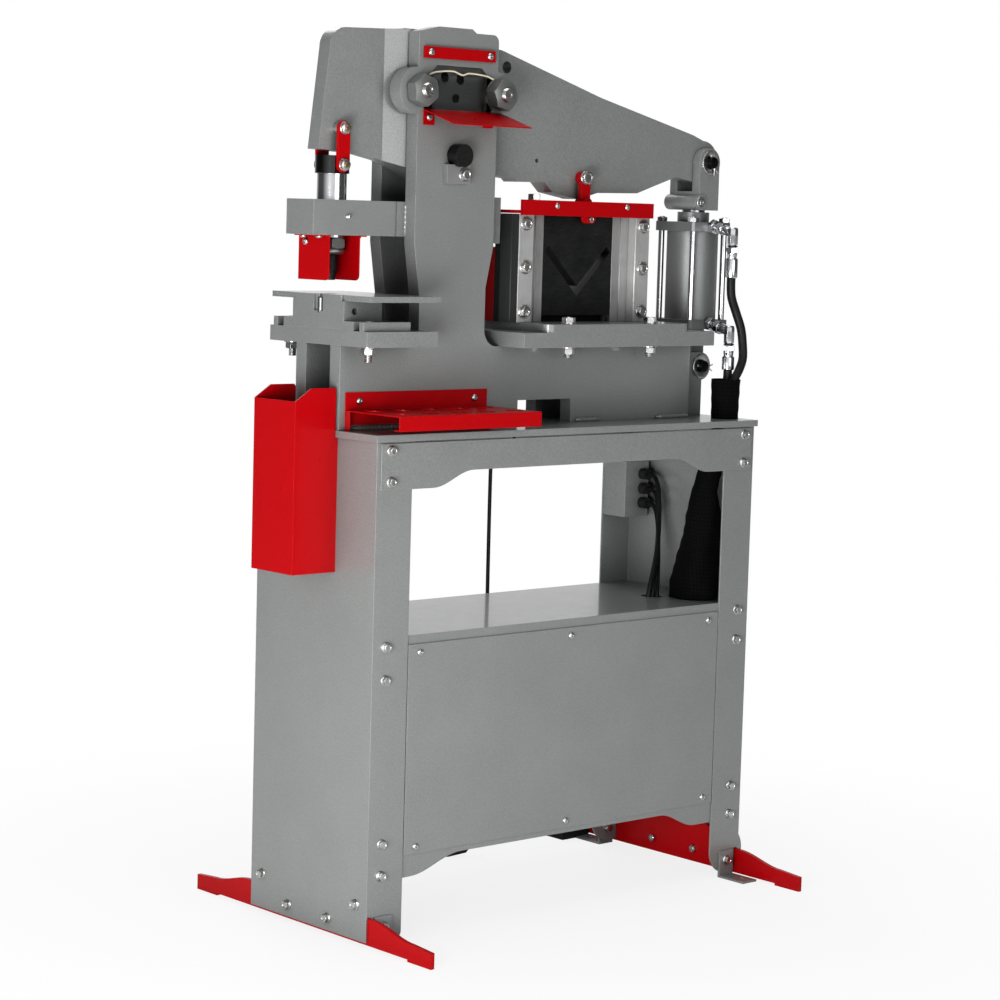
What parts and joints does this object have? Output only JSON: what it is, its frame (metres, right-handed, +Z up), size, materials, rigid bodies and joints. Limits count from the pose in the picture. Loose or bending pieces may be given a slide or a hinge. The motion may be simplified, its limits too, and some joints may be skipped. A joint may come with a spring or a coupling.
{
  "type": "hydraulic ironworker machine",
  "caption": "Floor-standing hydraulic ironworker: rocker beam driven by a cylinder, with punch, rod shear and angle shear on a sheet-metal stand, with bin, tool tray and foot pedal.",
  "frame": {"origin": "centre of the four floor anchor holes, on the floor", "axes": "+X from the punch end to the cylinder end, +Y to the back of the machine, +Z up"},
  "size_m": [1.065, 0.7337, 1.596],
  "materials": {
    "grey_paint": "fine-textured paint",
    "red_paint": "gloss paint",
    "zinc_steel": "zinc plated",
    "black_steel": "black oxide",
    "tool_steel": "ground",
    "hard_chrome": "polished",
    "bronze": "machined",
    "clear_sheet": "clear",
    "black_plastic": "moulded",
    "tank_plastic": "moulded",
    "motor_alloy": "painted casting",
    "hose_rubber": "matt",
    "woven_sleeve": "woven"
  },
  "bodies": {
    "stand": {"left_leg": "grey_paint", "right_leg": "grey_paint", "cross_rails": "grey_paint", "shelf": "grey_paint", "cover_panels": "grey_paint", "base_pan": "grey_paint", "table_plate": "grey_paint", "feet": "red_paint", "floor_brackets": "grey_paint", "hex_bolts": "zinc_steel", "button_screws": "zinc_steel", "oil_tank": "tank_plastic", "pump_motor": "motor_alloy", "hydraulic_pump": "motor_alloy", "control_box": "grey_paint", "cable_glands": "black_plastic", "motor_cables": "hose_rubber", "pedal_cord": "hose_rubber", "pedal_base": "black_plastic", "front_frame_plate": "grey_paint", "rear_frame_plate": "grey_paint", "punch_guide_block": "grey_paint", "frame_spacers": "grey_paint", "pivot_pin": "black_steel", "pin_keeper": "zinc_steel", "tie_bolts": "zinc_steel", "fixed_rod_blade": "tool_steel", "rod_guard": "clear_sheet", "guard_brackets": "red_paint", "punch_guard": "red_paint", "die_bolster": "grey_paint", "die_block": "grey_paint", "die": "tool_steel", "work_table": "grey_paint", "shear_bed": "grey_paint", "shear_housing": "tool_steel", "anchor_pin": "zinc_steel", "hose_sleeve": "woven_sleeve", "tool_tray": "red_paint", "slug_bin": "red_paint"},
    "beam_body": {"beam": "grey_paint", "pivot_bush": "bronze", "moving_rod_blade": "tool_steel", "link_top_pin": "zinc_steel"},
    "ram_body": {"punch_ram": "hard_chrome", "punch_nut": "tool_steel", "punch": "black_steel", "link_low_pin": "zinc_steel"},
    "ram_link_body": {"ram_links": "red_paint"},
    "shear_body": {"shear_blade": "black_steel", "shear_yoke": "red_paint"},
    "shear_link_body": {"shear_link": "red_paint"},
    "cylinder_group": {"cylinder_body": "grey_paint", "tie_rods": "zinc_steel", "port_fittings": "zinc_steel", "cylinder_hoses": "hose_rubber"},
    "rod_body": {"piston_rod": "hard_chrome", "rod_clevis": "grey_paint", "clevis_pin": "zinc_steel"},
    "treadle_body": {"pedal_treadle": "black_plastic"}
  },
  "joints": [
    {"name": "beam_rock", "type": "hinge", "parent": "stand", "child": "beam_body", "pos_m": [-0.219, 0, 1.373], "axis": [0, -1, 0], "range_deg": [0, 7]},
    {"name": "ram_slide", "type": "slide", "parent": "stand", "child": "ram_body", "axis": [0, 0, -1], "range_m": [0, 0.0253]},
    {"name": "ram_link_swing", "type": "hinge", "parent": "beam_body", "child": "ram_link_body", "pos_m": [-0.447, 0, 1.412], "axis": [0, -1, 0], "range_deg": [-4.2, 0]},
    {"name": "shear_slide", "type": "slide", "parent": "stand", "child": "shear_body", "axis": [0, 0, 1], "range_m": [0, 0.0421]},
    {"name": "shear_link_swing", "type": "hinge", "parent": "beam_body", "child": "shear_link_body", "pos_m": [0.123, 0, 1.344], "axis": [0, -1, 0], "range_deg": [-8.3, 0]},
    {"name": "cylinder_swing", "type": "hinge", "parent": "stand", "child": "cylinder_group", "pos_m": [0.45, 0, 0.988], "axis": [0, -1, 0], "range_deg": [0, 0.76]},
    {"name": "rod_slide", "type": "slide", "parent": "cylinder_group", "child": "rod_body", "axis": [0, 0, 1], "range_m": [0, 0.0817]},
    {"name": "treadle_press", "type": "hinge", "parent": "stand", "child": "treadle_body", "pos_m": [0.413, 0.262, 0.026], "axis": [-1, 0, 0], "range_deg": [0, 8], "stiffness_Nm_per_rad": 6, "springref_deg": -8.59}
  ],
  "couplings": [
    {"joint": "ram_slide", "follows": "beam_rock", "m_per_rad": 0.2063},
    {"joint": "ram_link_swing", "follows": "beam_rock", "ratio": -0.586},
    {"joint": "shear_slide", "follows": "beam_rock", "m_per_rad": 0.343},
    {"joint": "shear_link_swing", "follows": "beam_rock", "ratio": -1.167},
    {"joint": "cylinder_swing", "follows": "beam_rock", "ratio": 0.1064},
    {"joint": "rod_slide", "follows": "beam_rock", "m_per_rad": 0.667}
  ]
}
